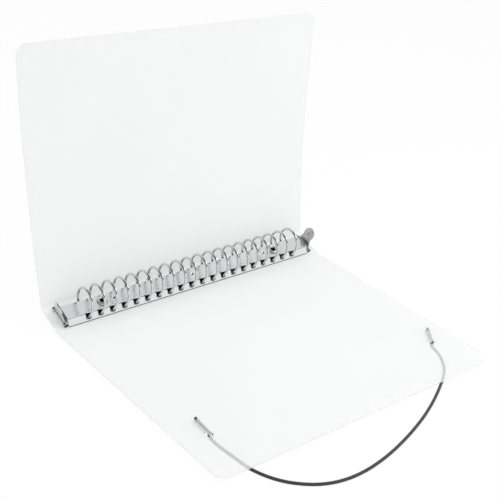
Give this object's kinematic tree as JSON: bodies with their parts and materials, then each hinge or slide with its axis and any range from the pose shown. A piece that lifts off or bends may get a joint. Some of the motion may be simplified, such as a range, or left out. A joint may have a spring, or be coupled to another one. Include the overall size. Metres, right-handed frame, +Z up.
{
  "type": "ring binder",
  "caption": "Open binder of frosted plastic sheet with a metal multi-ring mechanism, a lever at each end of it, and an elastic closing cord.",
  "frame": {"origin": "table level under the middle of the open binder's covers and spine, without the cord", "axes": "+X along the spine to the right, +Y from the lying front cover to the standing back cover, +Z up"},
  "size_m": [0.23, 0.2682, 0.1837],
  "materials": {
    "frosted_sheet": "frosted translucent polypropylene",
    "plated_steel": "nickel plated sheet steel",
    "ring_wire": "bright nickel plated wire",
    "spring_steel": "plain spring steel",
    "elastic": "braided elastic cord"
  },
  "bodies": {
    "spine": {"spine_panel": "frosted_sheet", "ring_housing": "plated_steel", "left_rivet": "plated_steel", "right_rivet": "plated_steel"},
    "front_cover": {"front_cover": "frosted_sheet", "elastic_cord": "elastic", "left_cord_tip": "plated_steel", "right_cord_tip": "plated_steel"},
    "back_cover": {"back_cover": "frosted_sheet"},
    "front_rings": {"front_ring_rail": "spring_steel", "front_half_ring_01": "ring_wire", "front_half_ring_02": "ring_wire", "front_half_ring_03": "ring_wire", "front_half_ring_04": "ring_wire", "front_half_ring_05": "ring_wire", "front_half_ring_06": "ring_wire", "front_half_ring_07": "ring_wire", "front_half_ring_08": "ring_wire", "front_half_ring_09": "ring_wire", "front_half_ring_10": "ring_wire", "front_half_ring_11": "ring_wire", "front_half_ring_12": "ring_wire", "front_half_ring_13": "ring_wire", "front_half_ring_14": "ring_wire", "front_half_ring_15": "ring_wire", "front_half_ring_16": "ring_wire", "front_half_ring_17": "ring_wire", "front_half_ring_18": "ring_wire", "front_half_ring_19": "ring_wire", "front_half_ring_20": "ring_wire"},
    "back_rings": {"back_ring_rail": "spring_steel", "back_half_ring_01": "ring_wire", "back_half_ring_02": "ring_wire", "back_half_ring_03": "ring_wire", "back_half_ring_04": "ring_wire", "back_half_ring_05": "ring_wire", "back_half_ring_06": "ring_wire", "back_half_ring_07": "ring_wire", "back_half_ring_08": "ring_wire", "back_half_ring_09": "ring_wire", "back_half_ring_10": "ring_wire", "back_half_ring_11": "ring_wire", "back_half_ring_12": "ring_wire", "back_half_ring_13": "ring_wire", "back_half_ring_14": "ring_wire", "back_half_ring_15": "ring_wire", "back_half_ring_16": "ring_wire", "back_half_ring_17": "ring_wire", "back_half_ring_18": "ring_wire", "back_half_ring_19": "ring_wire", "back_half_ring_20": "ring_wire"},
    "left_lever": {"left_lever": "plated_steel"},
    "right_lever": {"right_lever": "plated_steel"}
  },
  "joints": [
    {"name": "front_cover_hinge", "type": "hinge", "parent": "spine", "child": "front_cover", "pos_m": [0, 0.0601, 0.00049], "axis": [1, 0, 0], "range_deg": [-67, 108]},
    {"name": "back_cover_hinge", "type": "hinge", "parent": "spine", "child": "back_cover", "pos_m": [0, 0.08293, 0.00791], "axis": [1, 0, 0], "range_deg": [-154, 21.5]},
    {"name": "front_rings_hinge", "type": "hinge", "parent": "spine", "child": "front_rings", "pos_m": [0, 0.06427, 0.00363], "axis": [1, 0, 0], "range_deg": [0, 10]},
    {"name": "back_rings_hinge", "type": "hinge", "parent": "spine", "child": "back_rings", "pos_m": [0, 0.07772, 0.008], "axis": [1, 0, 0], "range_deg": [-10, 0]},
    {"name": "left_lever_hinge", "type": "hinge", "parent": "spine", "child": "left_lever", "pos_m": [-0.10785, 0.07081, 0.00639], "axis": [0, 0.9511, 0.309], "range_deg": [-22, 0]},
    {"name": "right_lever_hinge", "type": "hinge", "parent": "spine", "child": "right_lever", "pos_m": [0.10785, 0.07081, 0.00639], "axis": [0, 0.9511, 0.309], "range_deg": [0, 22]}
  ],
  "couplings": [
    {"joint": "back_rings_hinge", "follows": "front_rings_hinge", "ratio": -1},
    {"joint": "left_lever_hinge", "follows": "front_rings_hinge", "ratio": -2.2},
    {"joint": "right_lever_hinge", "follows": "front_rings_hinge", "ratio": 2.2}
  ]
}
